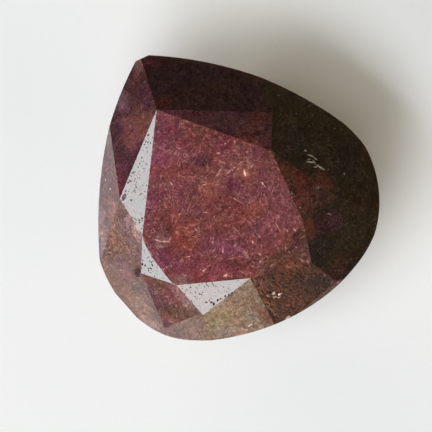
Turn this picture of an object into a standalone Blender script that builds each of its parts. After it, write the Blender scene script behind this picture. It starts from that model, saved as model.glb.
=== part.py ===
"""Pear-cut ruby: one faceted stone, lying on the flat ground across its lowest point.

The stone is cut the way a cutter works. A blank with the pear outline is sliced by flat facets:
the table, a star facet along each side of the table, the large main facets that start at the
table's corners, the girdle facets between them, and the facets of the pavilion below.
Lengths in the constants are millimetres and angles are degrees. Azimuths are counted
counter-clockwise from +X, seen from above, with the pear's tip towards +Y and the table up.
A slope is the angle between a facet and the table.
"""

from math import atan2, cos, degrees, radians, sin

import bmesh
import bpy
from mathutils import Vector

MM = 0.001
STONE_NAME = "ruby"
STONE_COLOUR = (0.16, 0.035, 0.045, 1.0)
STONE_ROUGHNESS = 0.12
CORUNDUM_IOR = 1.77

# Heights from the flat culet up to the table; the blank is longer at both ends
BLANK_SPARE = 1.0
PAVILION_DEPTH = 3.2
GIRDLE_DEPTH = 1.3
CROWN_HEIGHT = 2.5
CROWN_LINE = PAVILION_DEPTH + GIRDLE_DEPTH
TABLE_HEIGHT = CROWN_LINE + CROWN_HEIGHT

# Pear outline: each side leaves the same point of the round end as arcs (radius, sweep)
OUTLINE_START = (0.28, -8.98)
OUTLINE_HEADING = -2.3
RIGHT_ARCS = ((11.0, 26.0), (6.05, 92.5), (22.0, 31.0))
LEFT_ARCS = ((13.83, 29.2), (5.43, 66.4), (6.4, 17.3), (19.6, 35.4))
ARC_STEP = 1.5

# Table corners in plan, counter-clockwise from the corner at the tip
TIP, LEFT, LOWER_LEFT, ROUND_END, LOWER_RIGHT, RIGHT = range(6)
TABLE_CORNERS = (
    (-0.19, 5.84),
    (-4.86, -0.12),
    (-4.65, -3.78),
    (-0.60, -5.68),
    (3.91, -4.49),
    (4.50, 0.20),
)

# Slope of the star facet along each side of the table, from the side that leaves the tip
STAR_SLOPES = (20.0, 22.0, 16.5, 24.0, 21.0, 20.0)

# Main facets: the table corner each one starts from, its azimuth and its slope
CROWN_MAINS = (
    (TIP, 132.2, 40.5),
    (LEFT, 164.5, 36.1),
    (LOWER_LEFT, -155.0, 39.5),
    (ROUND_END, -96.2, 34.8),
    (ROUND_END, -88.0, 35.4),
    (LOWER_RIGHT, -52.4, 36.0),
    (RIGHT, 4.3, 31.3),
    (TIP, 47.8, 33.5),
)

# Girdle facets of the crown: azimuth, slope and reach from the axis at the crown line
CROWN_GIRDLE_FACETS = (
    (144.9, 56.1, 6.78),
    (-167.4, 49.1, 8.20),
    (-150.9, 40.9, 8.97),
    (-84.0, 60.0, 9.04),
    (-15.8, 43.1, 8.92),
    (21.7, 52.1, 7.34),
)

# Pavilion: main facets run from just under the girdle to the culet, and steeper break facets
# between them cut into its lower edge
PAVILION_AZIMUTHS = (131.0, 166.0, -154.0, -92.0, -50.0, 2.0, 49.0)
CULET_CENTRE = (0.0, -1.0)
CULET_REACH = 1.7
MAIN_DROP = 0.3
BREAK_RISE = 0.15
BREAK_EXTRA_SLOPE = 14.0
# No break facet crosses the gap at the tip, where two main facets meet in a keel
KEEL_GAP = 70.0
# The lower edge of the girdle climbs towards this azimuth, where the crown is shallow
GIRDLE_CLIMB = 0.7
GIRDLE_CLIMB_AZIMUTH = 40.0

# Distance under which a corner counts as lying on a cutting plane
CUT_TOLERANCE = 0.0001


def clear_scene():
    for item in list(bpy.data.objects):
        bpy.data.objects.remove(item, do_unlink=True)


def arc_side(arcs, side):
    """Points of one side of the outline; side is 1 for +X and -1 for -X."""
    x, y = OUTLINE_START
    heading = radians(OUTLINE_HEADING) * side
    points = []
    for radius, sweep in arcs:
        steps = round(sweep / ARC_STEP)
        start_x, start_y, start_heading = x, y, heading
        for step in range(1, steps + 1):
            heading = start_heading + radians(sweep) * step / steps
            x = start_x + side * radius * (sin(heading) - sin(start_heading))
            y = start_y + radius * (cos(start_heading) - cos(heading))
            points.append((x, y))
    return points


def pear_outline():
    """Counter-clockwise outline, centred on its own box. The tip is a short blunt edge."""
    right = arc_side(RIGHT_ARCS, 1)
    left = arc_side(LEFT_ARCS, -1)
    points = [OUTLINE_START] + right + left[::-1]
    xs = [x for x, _ in points]
    ys = [y for _, y in points]
    middle = Vector(((min(xs) + max(xs)) / 2, (min(ys) + max(ys)) / 2))
    return [Vector(point) - middle for point in points]


def outline_blank(outline):
    """A prism with the pear outline, from below the culet to above the table."""
    height = TABLE_HEIGHT + 2 * BLANK_SPARE
    curve = bpy.data.curves.new("blank", "CURVE")
    curve.dimensions = "2D"
    curve.fill_mode = "BOTH"
    curve.extrude = height / 2
    spline = curve.splines.new("POLY")
    spline.points.add(len(outline) - 1)
    for target, point in zip(spline.points, outline):
        target.co = (point.x, point.y, 0.0, 1.0)
    spline.use_cyclic_u = True
    blank = bpy.data.objects.new("blank", curve)
    bpy.context.scene.collection.objects.link(blank)
    depsgraph = bpy.context.evaluated_depsgraph_get()
    mesh = bpy.data.meshes.new_from_object(blank.evaluated_get(depsgraph))
    bpy.data.objects.remove(blank, do_unlink=True)
    body = bmesh.new()
    body.from_mesh(mesh)
    bmesh.ops.remove_doubles(body, verts=body.verts, dist=CUT_TOLERANCE)
    bmesh.ops.translate(body, verts=body.verts, vec=(0.0, 0.0, TABLE_HEIGHT / 2))
    bmesh.ops.recalc_face_normals(body, faces=body.faces)
    return body, mesh


def cut_facet(body, point, normal):
    """Take away what lies beyond the plane and close the body with one flat facet."""
    geometry = body.verts[:] + body.edges[:] + body.faces[:]
    result = bmesh.ops.bisect_plane(
        body,
        geom=geometry,
        dist=CUT_TOLERANCE,
        plane_co=point,
        plane_no=normal,
        clear_outer=True,
    )
    rim = [item for item in result["geom_cut"] if isinstance(item, bmesh.types.BMEdge)]
    if rim:
        bmesh.ops.edgeloop_fill(body, edges=rim)


def facet_normal(azimuth, slope):
    """Outward normal of a facet; a slope over 90 degrees faces down, for the pavilion."""
    turn = radians(azimuth)
    lean = radians(slope)
    return Vector((cos(turn) * sin(lean), sin(turn) * sin(lean), cos(lean)))


def crown_corner(index):
    x, y = TABLE_CORNERS[index % len(TABLE_CORNERS)]
    return Vector((x, y, TABLE_HEIGHT))


def cut_crown(body):
    cut_facet(body, crown_corner(TIP), Vector((0.0, 0.0, 1.0)))
    for index, slope in enumerate(STAR_SLOPES):
        corner = crown_corner(index)
        side = crown_corner(index + 1) - corner
        azimuth = degrees(atan2(-side.x, side.y))
        cut_facet(body, corner, facet_normal(azimuth, slope))
    for index, azimuth, slope in CROWN_MAINS:
        cut_facet(body, crown_corner(index), facet_normal(azimuth, slope))
    for azimuth, slope, reach in CROWN_GIRDLE_FACETS:
        turn = radians(azimuth)
        point = Vector((reach * cos(turn), reach * sin(turn), CROWN_LINE))
        cut_facet(body, point, facet_normal(azimuth, slope))


def outermost_point(outline, azimuth):
    """The point of the outline that a straight edge facing this azimuth touches first."""
    direction = Vector((cos(radians(azimuth)), sin(radians(azimuth))))
    return max(outline, key=lambda point: point.dot(direction))


def girdle_low_edge(azimuth):
    climb = GIRDLE_CLIMB * (1.0 + cos(radians(azimuth - GIRDLE_CLIMB_AZIMUTH))) / 2
    return PAVILION_DEPTH + climb


def pavilion_slope(outline, azimuth):
    """Slope of the main facet that joins the girdle to the edge of the flat culet."""
    direction = Vector((cos(radians(azimuth)), sin(radians(azimuth))))
    touch = outermost_point(outline, azimuth) - Vector(CULET_CENTRE)
    run = touch.dot(direction) - CULET_REACH
    return degrees(atan2(girdle_low_edge(azimuth) - MAIN_DROP, run))


def cut_pavilion_facet(body, outline, azimuth, slope, rise):
    touch = outermost_point(outline, azimuth)
    point = Vector((touch.x, touch.y, girdle_low_edge(azimuth) + rise))
    cut_facet(body, point, facet_normal(azimuth, 180.0 - slope))


def cut_pavilion(body, outline):
    cut_facet(body, Vector((0.0, 0.0, 0.0)), Vector((0.0, 0.0, -1.0)))
    for azimuth in PAVILION_AZIMUTHS:
        slope = pavilion_slope(outline, azimuth)
        cut_pavilion_facet(body, outline, azimuth, slope, -MAIN_DROP)
    for index, azimuth in enumerate(PAVILION_AZIMUTHS):
        gap = (PAVILION_AZIMUTHS[index - 1] - azimuth) % 360.0
        gap = min(gap, 360.0 - gap)
        if gap < KEEL_GAP:
            between = azimuth - gap / 2
            slope = pavilion_slope(outline, between) + BREAK_EXTRA_SLOPE
            cut_pavilion_facet(body, outline, between, slope, BREAK_RISE)


def stone_material():
    material = bpy.data.materials.new("polished ruby")
    material.use_nodes = True
    shader = material.node_tree.nodes["Principled BSDF"]
    shader.inputs["Base Color"].default_value = STONE_COLOUR
    shader.inputs["Roughness"].default_value = STONE_ROUGHNESS
    shader.inputs["IOR"].default_value = CORUNDUM_IOR
    shader.inputs["Metallic"].default_value = 0.0
    material.diffuse_color = STONE_COLOUR
    return material


def build_stone(collection):
    outline = pear_outline()
    body, mesh = outline_blank(outline)
    cut_crown(body)
    cut_pavilion(body, outline)
    bmesh.ops.recalc_face_normals(body, faces=body.faces)
    bmesh.ops.scale(body, vec=(MM, MM, MM), verts=body.verts)
    mesh.clear_geometry()
    body.to_mesh(mesh)
    body.free()
    mesh.name = STONE_NAME
    mesh.materials.append(stone_material())
    stone = bpy.data.objects.new(STONE_NAME, mesh)
    collection.objects.link(stone)


def main():
    clear_scene()
    collection = bpy.data.collections.new("pear_cut_ruby")
    bpy.context.scene.collection.children.link(collection)
    build_stone(collection)


main()
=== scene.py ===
import math
import random

import bmesh
import bpy
from mathutils import Matrix, Vector, noise
from mathutils.bvhtree import BVHTree


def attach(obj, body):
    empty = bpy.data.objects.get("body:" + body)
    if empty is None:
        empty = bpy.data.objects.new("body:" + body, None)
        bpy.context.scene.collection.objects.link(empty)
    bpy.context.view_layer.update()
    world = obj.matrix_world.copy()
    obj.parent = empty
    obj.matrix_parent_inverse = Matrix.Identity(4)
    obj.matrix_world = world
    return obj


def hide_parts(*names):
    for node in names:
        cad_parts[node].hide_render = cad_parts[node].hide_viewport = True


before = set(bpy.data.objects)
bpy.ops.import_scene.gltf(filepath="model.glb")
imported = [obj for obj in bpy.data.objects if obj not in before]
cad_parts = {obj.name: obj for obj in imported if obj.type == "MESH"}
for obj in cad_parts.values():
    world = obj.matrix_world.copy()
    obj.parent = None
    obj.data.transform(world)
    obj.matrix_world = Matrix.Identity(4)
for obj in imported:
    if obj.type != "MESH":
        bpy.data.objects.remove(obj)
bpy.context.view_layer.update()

mm = 0.001


def srgbToLinear(hexColour):
    # "#rrggbb" turned into the linear values that a shader takes
    channels = [int(hexColour[i : i + 2], 16) / 255 for i in (1, 3, 5)]
    linear = [c / 12.92 if c <= 0.04045 else ((c + 0.055) / 1.055) ** 2.4 for c in channels]
    return (linear[0], linear[1], linear[2], 1.0)


def addNode(tree, kind, settings=None, inputs=None):
    # a new shader node; an input may be another node's output socket or a plain value
    node = tree.nodes.new("ShaderNode" + kind)
    for name, value in (settings or {}).items():
        setattr(node, name, value)
    for name, value in (inputs or {}).items():
        if isinstance(value, bpy.types.NodeSocket):
            tree.links.new(value, node.inputs[name])
        else:
            node.inputs[name].default_value = value
    return node


def direction(azimuth, slope):
    # unit vector that leans by slope from straight up, towards azimuth; both in degrees
    turn, lean = math.radians(azimuth), math.radians(slope)
    return Vector((math.cos(turn) * math.sin(lean), math.sin(turn) * math.sin(lean), math.cos(lean)))


# The polished facets: azimuth and slope of each one's normal, the colour behind the polish and
# how much of the silk shows there.
# The stone is cloudy, so every facet looks into a different part of it and has its own shade. These
# colours are partly the stone's own zoning and partly painted light: a painted glow of the light that
# the stone lets through and sends back from inside, and painted shade on the facets turned away from
# the window.
facetLooks = {
    "table": (0, 0, "#754141", 1.0),
    "starAtTipLeft": (141.8, 20.0, "#522225", 0.3),
    "starLeft": (-176.6, 22.0, "#4a2422", 0.3),
    "starLowerLeft": (-115.1, 16.5, "#5d2c1e", 0.3),
    "starLowerRight": (-75.2, 24.0, "#5c3d34", 1.0),
    "starRight": (-7.2, 21.0, "#3f2c23", 0.7),
    "starAtTipRight": (39.7, 20.0, "#43292a", 0.45),
    "mainTipLeft": (132.2, 40.5, "#3f2629", 0.5),
    "mainLeft": (164.5, 36.1, "#6f5751", 0.5),
    "mainLowerLeft": (-155.0, 39.5, "#513933", 1.0),
    "mainOlive": (-96.2, 34.8, "#7c6b5c", 0.25),
    "mainRough": (-88.0, 35.4, "#45281a", 0.15),
    "mainLowerRight": (-52.4, 36.0, "#2d261d", 0.4),
    "mainRight": (4.3, 31.3, "#29231b", 0.4),
    "mainTipRight": (47.8, 33.5, "#2e201e", 0.25),
    "girdleTipLeft": (144.9, 56.1, "#51363a", 0.7),
    "girdleLeft": (-167.4, 49.1, "#5a3e33", 0.7),
    "girdleLowerLeft": (-150.9, 40.9, "#61493b", 0.6),
    "girdleRoundEnd": (-84.0, 60.0, "#594740", 0.4),
    "girdleRight": (-15.8, 43.1, "#2b231b", 0.2),
    "girdleTipRight": (21.7, 52.1, "#282116", 0.2),
}

stoneShape = {
    "weldReach": 0.0005,  # mm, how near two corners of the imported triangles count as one
    "flatWithin": 0.3,  # degrees, how flat two triangles must meet to be one facet
    "sameFacet": 0.9985,  # least cosine between a face's normal and the facet that it is taken for
    "edgeRounding": 0.03,  # mm taken off each facet edge by polishing and wear
    "leastEdge": 7.0,  # degrees; flatter joins, such as the girdle's curve, stay as they are
    "uprightWithin": 0.02,  # how little the girdle's normals may lean up or down
    "skinCell": 0.2,  # mm, how finely the facets are divided to carry the clouds of colour
    "girdleCell": 0.4,
    "cutReach": 0.004,  # mm; a corner this near to a cut isn't cut again
    "slots": {  # which of the stone's materials each has, counted from 0; every other facet has the first
        "girdle": 1,
        "wornStrip": 1,
        "chips": 2,
        "table": 5,
        "starAtTipLeft": 4,
        "starLeft": 4,
        "starLowerLeft": 4,
        "mainRough": 3,
        "girdleRoundEnd": 1,
        "girdleTipLeft": 6,
        "girdleLeft": 6,
        "girdleLowerLeft": 6,
    },
    "unpolished": "mainRough",
    "unpolishedCuts": 3,
    "unpolishedRelief": 0.06,  # mm, how deep the lap tore that facet
    "ridgeSize": 0.22,  # mm between the torn ridges
    "ridgeBend": (1.3, 0.35),  # how often per mm they bend, and by how many mm
    "ridgeSharpness": 3.2,
    "ridgeShare": 0.45,  # the rest of the relief is grain
    "tornGrain": 0.12,  # mm, the grains that were torn out
    "grainContrast": 1.2,
    "ridgeLightAndShade": 1.6,  # painted highlight and shade: how much lighter the ridges are painted than what lies at the height below, and the hollows darker
    "ridgeMiddle": 0.4,
    "cloudEdge": (1.5, 0.4),  # from outside a cloud to its full strength, in its own half sizes
    "cloudRaggedness": 0.35,
    "wornStar": "starLeft",
    "wornLine": (  # mm in plan; between this line and the table the star facet has lost its gloss
        (-4.86, -0.12),
        (-5.03, -0.52),
        (-5.08, -1.1),
        (-5.1, -1.6),
        (-5.03, -2.2),
        (-4.96, -2.85),
        (-4.87, -3.38),
        (-4.65, -3.78),
    ),
    "wornStripShade": 0.72,  # painted shade: how much darker than the table the strip is painted, to offset the extra light that it catches facing the window
    # painted shade: the whole girdle wall has the dark colour of its side turned away from the window
    "girdlePaintedShade": "#2c1e1a",
    "hiddenSilk": 0.5,  # the share of the silk that shows on the pavilion
    "pavilionShades": ("#4c2528", "#5a2d31", "#40201f", "#633437", "#4a2a24"),
    # painted shade inside the pits
    "pitShadeColour": "#2c1716",
    "chipDepth": 0.3,  # of a chip's half width
    "pitDepth": 0.8,
    "scoopRaggedness": 0.45,
    "seed": 11,
}

# The colours of the clouds, which are partly the stone's own and partly painted light and shade
cloudColours = {
    "plum": "#6a2f44",
    "orchid": "#86465a",
    "wine": "#6d2a2e",
    "rust": "#8a463c",
    "ember": "#985d50",
    "umber": "#3d211b",
    "ink": "#2e1820",
    "ash": "#b59a94",
    "mauve": "#8d6f74",
    "moss": "#8a8467",
    "amber": "#6b4a2e",
    "soot": "#20150f",
}

# Clouds behind each facet, partly the stone's own zoning and partly painted light and shade from
# the light that the stone lets through: x, y, half length, half width in mm (plan), turn in degrees,
# colour, strength
facetClouds = {
    "table": (
        (-1.6, 3.4, 1.1, 0.6, 70, "orchid", 0.55),
        (-0.2, 4.4, 0.4, 0.3, 0, "wine", 0.5),
        (-0.5, 2.5, 1.4, 0.9, 20, "plum", 0.35),
        (0.56, 1.7, 0.55, 0.4, -20, "ink", 0.65),
        (2.5, 0.1, 1.1, 0.6, 70, "ember", 0.55),
        (2.3, 1.95, 0.9, 0.7, 0, "wine", 0.35),
        (0.3, 0.3, 1.0, 0.5, 10, "ember", 0.4),
        (-1.9, 1.7, 0.8, 0.5, 30, "ember", 0.35),
        (1.5, -0.4, 0.6, 0.5, 0, "plum", 0.5),
        (-3.3, -0.6, 0.55, 0.5, 0, "ink", 0.35),
        (-2.7, -1.5, 1.1, 0.7, 40, "rust", 0.5),
        (-4.6, -1.8, 0.9, 0.5, 80, "orchid", 0.35),
        (-3.6, -3.0, 1.5, 0.6, -45, "plum", 0.45),
        (-2.0, -4.3, 1.6, 0.4, -22, "orchid", 0.45),
        (-0.6, -4.6, 0.9, 0.5, -20, "umber", 0.35),
        (0.5, -1.7, 1.0, 0.7, 60, "wine", 0.4),
        (1.4, -2.5, 0.8, 0.5, 0, "rust", 0.5),
        (2.7, -3.3, 1.3, 0.8, 60, "ember", 0.18),
        (1.1, -4.2, 0.8, 0.5, 0, "rust", 0.25),
        (1.85, 3.2, 0.9, 0.5, -35, "umber", 0.45),
        (2.4, 0.78, 0.5, 0.4, 0, "umber", 0.45),
        (4.35, 0.05, 0.6, 0.4, -70, "umber", 0.55),
        (4.0, -2.6, 0.9, 0.3, -80, "umber", 0.2),
        (-3.95, -0.95, 0.5, 0.4, -40, "mauve", 0.45),
        (-4.15, -3.7, 0.5, 0.35, -40, "mauve", 0.4),
        (-1.0, -3.1, 0.8, 0.5, 60, "orchid", 0.3),
        (-2.45, 0.2, 0.5, 0.4, 60, "wine", 0.25),
        (-4.4, 0.3, 0.5, 0.3, 80, "orchid", 0.4),
        (-3.0, 1.5, 0.6, 0.4, 60, "orchid", 0.35),
        (-0.35, -1.7, 0.5, 0.4, 0, "ember", 0.35),
        (-2.8, -2.95, 0.6, 0.4, -45, "orchid", 0.35),
        (-0.65, -3.8, 0.6, 0.4, 0, "orchid", 0.4),
        (0.7, -5.25, 0.5, 0.3, -10, "umber", 0.25),
        (2.85, -2.7, 0.5, 0.4, 0, "umber", 0.15),
        (3.4, -3.75, 0.5, 0.4, 0, "umber", 0.2),
        (-0.35, 0.35, 0.6, 0.4, 0, "wine", 0.25),
        (3.55, 1.05, 0.5, 0.4, 0, "umber", 0.22),
        (3.65, -1.2, 0.6, 0.4, -80, "umber", 0.22),
        (-3.85, 0.95, 0.5, 0.35, 60, "orchid", 0.4),
        (-3.9, -3.0, 0.5, 0.35, -45, "orchid", 0.35),
    ),
    "mainTipLeft": (
        (-0.8, 6.3, 0.8, 0.4, 60, "ink", 0.25),
        (-2.2, 5.6, 1.2, 0.9, 60, "ember", 0.2),
        (-4.6, 3.4, 1.2, 0.5, 60, "plum", 0.4),
        (-3.8, 6.2, 2.2, 0.3, 58, "ink", 0.12),
        (-0.1, 7.2, 0.7, 0.4, 60, "umber", 0.35),
        (0.1, 8.8, 0.5, 0.4, 0, "mauve", 0.3),
        (-2.2, 7.4, 0.6, 0.4, 60, "mauve", 0.25),
        (-1.6, 5.35, 0.7, 0.4, 60, "ember", 0.22),
        (-0.8, 5.6, 0.35, 0.22, 60, "ember", 0.35),
        (-2.75, 5.1, 0.5, 0.4, 60, "ember", 0.2),
        (-0.95, 7.4, 0.7, 0.4, 60, "ink", 0.2),
    ),
    "mainLeft": (
        (-5.0, 0.32, 0.38, 0.25, 80, "ash", 0.52),
        (-5.1, 0.95, 0.4, 0.3, 80, "ash", 0.2),
        (-5.15, -0.4, 0.4, 0.3, 80, "mauve", 0.2),
        (-7.2, 0.5, 0.8, 0.35, 60, "umber", 0.22),
        (-7.9, -0.1, 0.6, 0.3, 80, "umber", 0.2),
        (-6.45, -1.9, 0.28, 0.22, 0, "umber", 0.9),
    ),
    "mainLowerLeft": (
        (-5.5, -4.1, 0.8, 0.6, 0, "orchid", 0.25),
        (-4.6, -4.8, 0.6, 0.4, -60, "mauve", 0.55),
        (-4.75, -3.95, 0.4, 0.25, -50, "mauve", 0.4),
        (-6.6, -5.2, 0.6, 0.4, -60, "ember", 0.3),
        (-6.2, -2.6, 0.5, 0.3, -60, "ember", 0.3),
        (-4.5, -5.7, 0.7, 0.4, -40, "ash", 0.12),
        (-6.3, -4.9, 1.2, 0.3, -60, "umber", 0.25),
        (-6.45, -1.9, 0.28, 0.22, 0, "umber", 0.9),
    ),
    "mainOlive": (
        (-3.6, -6.6, 1.1, 0.8, 60, "moss", 0.4),
        (-1.3, -8.1, 1.2, 0.36, -78, "amber", 0.85),
        (-3.6, -7.8, 0.7, 0.5, -50, "ash", 0.28),
        (-3.1, -6.15, 0.5, 0.4, -30, "ash", 0.22),
    ),
    "mainRough": (
        (-0.5, -6.4, 0.5, 0.4, 30, "ember", 0.25),
        (2.6, -8.1, 1.5, 0.7, -31, "soot", 0.62),
        (-0.85, -7.6, 1.0, 0.22, -78, "amber", 0.5),
    ),
    "mainLowerRight": (
        (4.9, -5.2, 0.9, 0.6, 0, "plum", 0.18),
        (4.0, -4.7, 0.7, 0.4, 80, "rust", 0.28),
        (3.9, -7.9, 0.9, 0.4, 40, "rust", 0.1),
    ),
    "mainRight": ((5.9, -3.1, 0.7, 0.5, 70, "rust", 0.22),),
    "mainTipRight": (
        (0.2, 8.5, 1.0, 0.35, -10, "plum", 0.15),
        (0.1, 6.0, 0.7, 0.4, 0, "wine", 0.18),
    ),
    "starLowerRight": (
        (3.0, -5.0, 0.9, 0.4, 20, "umber", 0.5),
        (-0.1, -5.7, 0.4, 0.3, 0, "ember", 0.3),
        (2.3, -5.0, 0.6, 0.3, 0, "ember", 0.3),
    ),
    "starRight": (
        (4.9, -2.6, 1.3, 0.4, 80, "wine", 0.3),
        (5.4, -2.6, 0.6, 0.5, 80, "umber", 0.55),
        (4.3, -1.6, 0.6, 0.3, 80, "rust", 0.2),
        (4.15, -3.35, 0.5, 0.3, 80, "rust", 0.3),
    ),
    "starAtTipRight": (
        (0.6, 5.3, 0.9, 0.4, -40, "plum", 0.45),
        (4.9, 2.3, 0.9, 0.5, -50, "umber", 0.6),
        (3.6, 1.3, 0.8, 0.3, -40, "rust", 0.25),
    ),
    "girdleTipLeft": (
        (-7.6, 1.0, 1.3, 0.4, 70, "ash", 0.16),
        (-6.0, 1.9, 0.6, 0.4, 60, "ember", 0.45),
        (-4.2, 5.8, 0.6, 0.3, 60, "ash", 0.14),
        (-5.6, 4.4, 0.9, 0.4, 60, "plum", 0.25),
        (-6.9, 2.25, 0.5, 0.3, 60, "ash", 0.15),
        (-5.0, 3.0, 0.5, 0.25, 60, "plum", 0.4),
    ),
    "girdleLowerLeft": ((-4.6, -6.25, 0.5, 0.3, -50, "umber", 0.35),),
    "girdleLeft": (
        (-6.5, -1.95, 0.5, 0.35, 0, "umber", 0.85),
        (-7.2, -1.7, 0.6, 0.4, 0, "wine", 0.3),
        (-7.05, -4.55, 0.7, 0.45, -50, "umber", 0.7),
        (-7.95, -4.85, 0.6, 0.35, -50, "ash", 0.2),
        (-7.7, -3.9, 1.0, 0.5, -60, "ash", 0.14),
    ),
}

# Conchoidal chips where the edges were knocked: plan x, y, half length, half width, turn, colour
knockedChips = (
    (-0.04, -7.19, 0.24, 0.1, -10, "#b3a698"),
    (-0.4, -7.16, 0.15, 0.07, -40, "#a39484"),
    (0.2, -7.42, 0.17, 0.09, -30, "#b3a698"),
    (-0.2, -7.4, 0.2, 0.08, -20, "#a08878"),
    (0.06, -7.58, 0.14, 0.05, -35, "#9a8a7b"),
    (-0.28, -8.86, 0.24, 0.12, 25, "#c4b2a8"),
    (3.07, -7.83, 0.13, 0.06, 35, "#7a675d"),
    (3.14, -8.42, 0.12, 0.05, 40, "#6e5a50"),
    (3.42, -8.59, 0.1, 0.07, 60, "#7a675d"),
    (-2.42, -8.11, 0.18, 0.07, 10, "#b5a195"),
    (-2.8, -8.24, 0.13, 0.06, -30, "#ab9685"),
    (-4.74, 2.37, 0.24, 0.13, 29, "#5c454f"),
    (-6.55, -2.0, 0.28, 0.2, 10, "#3c120e"),
    (-5.58, 3.81, 0.07, 0.05, 60, "#c5aab2"),
    (-5.5, 3.22, 0.06, 0.05, 0, "#c09fa8"),
    (-4.86, 3.62, 0.06, 0.04, 30, "#b08a9a"),
)

# Small open pits, cut into the surface and painted dark inside, which is painted shade: plan x, y, half
# length, half width, turn
darkPits = (
    (-4.43, 2.0, 0.07, 0.06, 0),
    (-5.89, -1.64, 0.1, 0.06, 40),
    (-5.76, -1.79, 0.06, 0.05, 0),
    (-5.31, -1.81, 0.05, 0.05, 0),
    (-5.36, -2.0, 0.08, 0.05, 80),
    (-5.58, -2.09, 0.06, 0.05, 0),
    (-5.62, -2.62, 0.05, 0.04, 0),
    (-3.72, -5.57, 0.06, 0.05, 0),
    (-3.49, -5.56, 0.05, 0.05, 0),
    (-3.46, -5.72, 0.09, 0.06, 20),
    (-3.39, -5.87, 0.1, 0.07, 60),
    (-3.04, -5.81, 0.1, 0.06, 30),
    (-2.85, -5.83, 0.06, 0.05, 0),
    (-2.53, -5.83, 0.07, 0.05, 30),
    (-2.29, -5.87, 0.06, 0.05, 0),
    (-2.06, -5.87, 0.09, 0.05, 20),
    (-6.56, -2.0, 0.16, 0.1, 30),
    (-0.47, -6.27, 0.09, 0.06, 20),
    (-0.6, -6.52, 0.07, 0.05, 70),
    (-0.52, -6.74, 0.1, 0.05, -70),
    (-0.68, -7.0, 0.08, 0.06, 10),
    (-0.58, -7.32, 0.07, 0.05, 50),
    (-0.78, -7.55, 0.12, 0.06, -60),
    (-0.66, -7.8, 0.08, 0.06, 0),
    (-0.9, -7.98, 0.09, 0.06, -80),
    (-0.72, -8.2, 0.07, 0.05, 30),
    (-0.98, -8.45, 0.11, 0.06, -60),
    (-0.8, -8.62, 0.08, 0.05, 10),
    (0.1, -6.7, 0.06, 0.05, 0),
    (1.05, -7.2, 0.07, 0.05, 40),
    (0.55, -8.1, 0.06, 0.04, 0),
    (1.9, -7.1, 0.06, 0.05, 60),
)

# The larger single needles and flakes of silk just under the polish, drawn where they lie:
# plan x, y, half length, half width, turn, strength. First those under the table.
tableFlakes = (
    (2.44, -0.08, 0.26, 0.06, -109, 0.85),
    (1.7, 1.72, 0.15, 0.066, -36, 0.5),
    (1.24, 0.81, 0.2, 0.042, 15, 0.5),
    (1.02, 0.67, 0.24, 0.039, 10, 0.45),
    (1.66, 0.46, 0.28, 0.042, 14, 0.5),
    (1.83, 1.45, 0.29, 0.036, -15, 0.35),
    (2.48, 0.56, 0.24, 0.036, 13, 0.4),
    (3.04, 0.05, 0.13, 0.042, 13, 0.5),
    (-0.03, 0.57, 0.19, 0.042, -17, 0.55),
    (1.2, -1.26, 0.62, 0.036, -60, 0.35),
    (3.04, -1.16, 0.14, 0.048, -78, 0.7),
    (3.08, -1.37, 0.19, 0.036, -85, 0.4),
    (-1.88, -1.45, 0.14, 0.042, -80, 0.55),
    (-1.69, -1.51, 0.13, 0.036, -74, 0.5),
    (3.28, -4.56, 0.18, 0.048, -81, 0.7),
    (2.79, -4.2, 0.12, 0.039, -70, 0.6),
    (2.86, -4.34, 0.08, 0.048, -90, 0.75),
    (-0.84, -0.91, 0.21, 0.036, -34, 0.4),
    (-0.52, -1.36, 0.05, 0.048, -53, 0.6),
    (0.2, -2.67, 0.24, 0.045, -72, 0.4),
    (2.84, -3.34, 0.2, 0.066, -78, 0.3),
    (2.48, -3.86, 0.34, 0.042, -92, 0.35),
    (-0.2, 2.56, 0.05, 0.054, -63, 0.9),
    (2.34, 2.03, 0.05, 0.045, -49, 0.7),
    (2.91, 1.83, 0.09, 0.042, -106, 0.7),
    (-4.21, -0.87, 0.25, 0.045, -54, 0.55),
    (-3.89, -1.13, 0.34, 0.054, -33, 0.5),
    (-2.96, -1.07, 0.2, 0.048, -57, 0.4),
    (-1.71, 1.66, 0.12, 0.042, -83, 0.7),
    (-2.25, -0.19, 0.07, 0.048, -54, 0.6),
    (-3.19, -2.61, 0.25, 0.045, -21, 0.4),
    (-4.76, -1.22, 0.04, 0.045, -40, 0.7),
    (-4.43, -1.48, 0.04, 0.045, -50, 0.6),
    (-4.29, -2.59, 0.05, 0.054, -51, 0.8),
    (-1.4, -2.63, 0.12, 0.045, 34, 0.45),
    (-1.55, -3.08, 0.22, 0.039, -146, 0.3),
    (-1.12, -3.39, 0.23, 0.06, -125, 0.35),
    (-1.67, -3.47, 0.15, 0.042, 27, 0.4),
    (-0.96, -4.04, 0.34, 0.042, -20, 0.28),
    (-0.02, -4.13, 0.4, 0.066, -79, 0.3),
    (-0.05, -4.41, 0.29, 0.054, -74, 0.25),
    (0.69, -3.88, 0.07, 0.066, -49, 0.85),
    (-2.77, -3.81, 0.09, 0.066, 3, 0.95),
    (-2.61, -3.82, 0.05, 0.048, -67, 0.6),
    (-1.79, -4.75, 0.18, 0.078, -2, 0.7),
    (0.7, -4.72, 0.13, 0.06, -65, 0.6),
    (0.47, -5.1, 0.05, 0.054, -49, 0.8),
)
crownFlakes = (
    (0.89, -5.64, 0.16, 0.039, 18, 0.45),
    (2.25, -5.5, 0.1, 0.039, -99, 0.5),
    (2.74, -5.48, 0.07, 0.045, -107, 0.7),
    (0.16, -5.94, 0.66, 0.039, -19, 0.42),
    (1.41, -6.39, 0.68, 0.039, -21, 0.38),
    (2.21, -6.65, 0.16, 0.036, -9, 0.25),
)

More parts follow.
